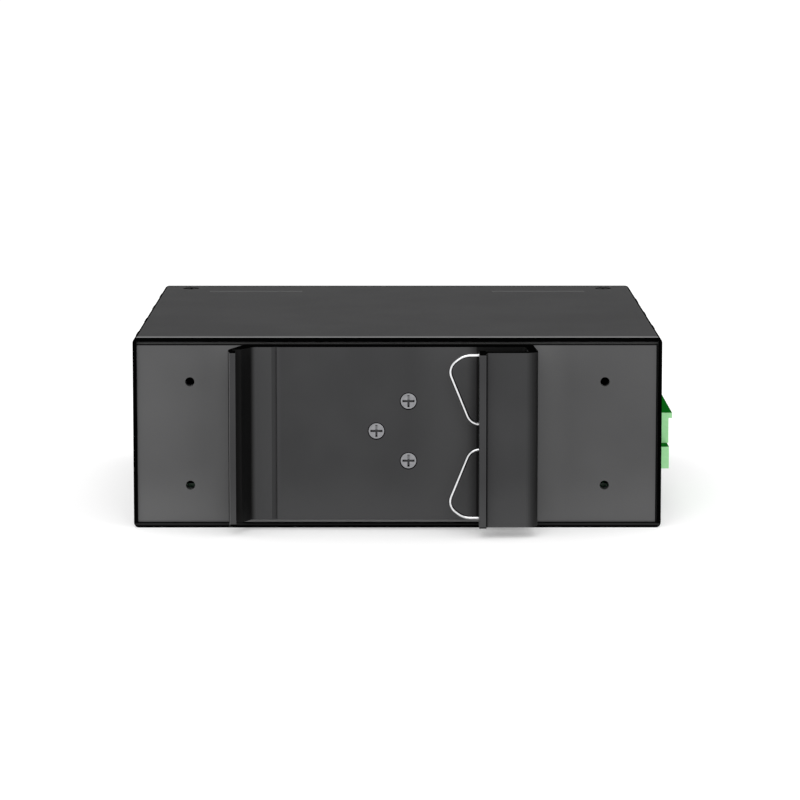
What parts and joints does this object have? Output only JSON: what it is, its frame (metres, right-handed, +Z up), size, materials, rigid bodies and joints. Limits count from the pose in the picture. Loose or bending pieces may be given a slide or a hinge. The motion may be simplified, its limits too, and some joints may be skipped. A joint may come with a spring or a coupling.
{
  "type": "fiber media converter",
  "caption": "Small industrial media converter in a folded sheet case, with a rail clip and spring, network socket, fiber ports, lamps and a pluggable screw terminal.",
  "frame": {"origin": "middle of the long side face on which the case lies, half way along it and half way through its depth", "axes": "+Z up from the face it lies on; +X along the case towards the end with the screw terminal; +Y from the back with the rail clip to the front with the ports"},
  "size_m": [0.0768, 0.0793, 0.0269],
  "materials": {
    "sleeve_paint": "fine matt powder coat",
    "tray_paint": "fine matt powder coat",
    "clip_black": "black anodised extrusion",
    "spring_steel": "bright drawn wire",
    "screw_steel": "zinc plated",
    "black_screw": "black oxide",
    "board_green": "solder mask",
    "tinned": "tin plated",
    "black_plastic": "moulded, fine texture",
    "gold": "gold flash",
    "zirconia": "polished ceramic",
    "plug_rubber": "soft moulded",
    "lamp_clear": "frosted light pipe",
    "terminal_green": "moulded, satin",
    "coil_ferrite": "ferrite",
    "can_aluminium": "drawn can"
  },
  "bodies": {
    "root": {"case_sleeve": "sleeve_paint", "chassis_tray": "tray_paint", "rail_clip": "clip_black", "rail_spring": "spring_steel", "clip_screws": "screw_steel", "clip_nuts": "screw_steel", "mount_nuts": "screw_steel", "board_posts": "screw_steel", "board_screws": "screw_steel", "terminal_screws": "screw_steel", "cover_screws": "black_screw", "circuit_board": "board_green", "rj45_shield": "tinned", "transceiver_pins": "tinned", "terminal_pins": "tinned", "terminal_clamps": "tinned", "clock_crystal": "tinned", "rj45_insert": "black_plastic", "fiber_transceiver": "black_plastic", "lamp_holder": "black_plastic", "switch_chip": "black_plastic", "magnetics_module": "black_plastic", "voltage_regulator": "black_plastic", "input_fuse": "black_plastic", "rj45_contacts": "gold", "fiber_ferrules": "zirconia", "fiber_dust_plug": "plug_rubber", "lamp_lenses": "lamp_clear", "terminal_plug": "terminal_green", "terminal_header": "terminal_green", "power_inductor": "coil_ferrite", "capacitors": "can_aluminium"}
  },
  "joints": []
}
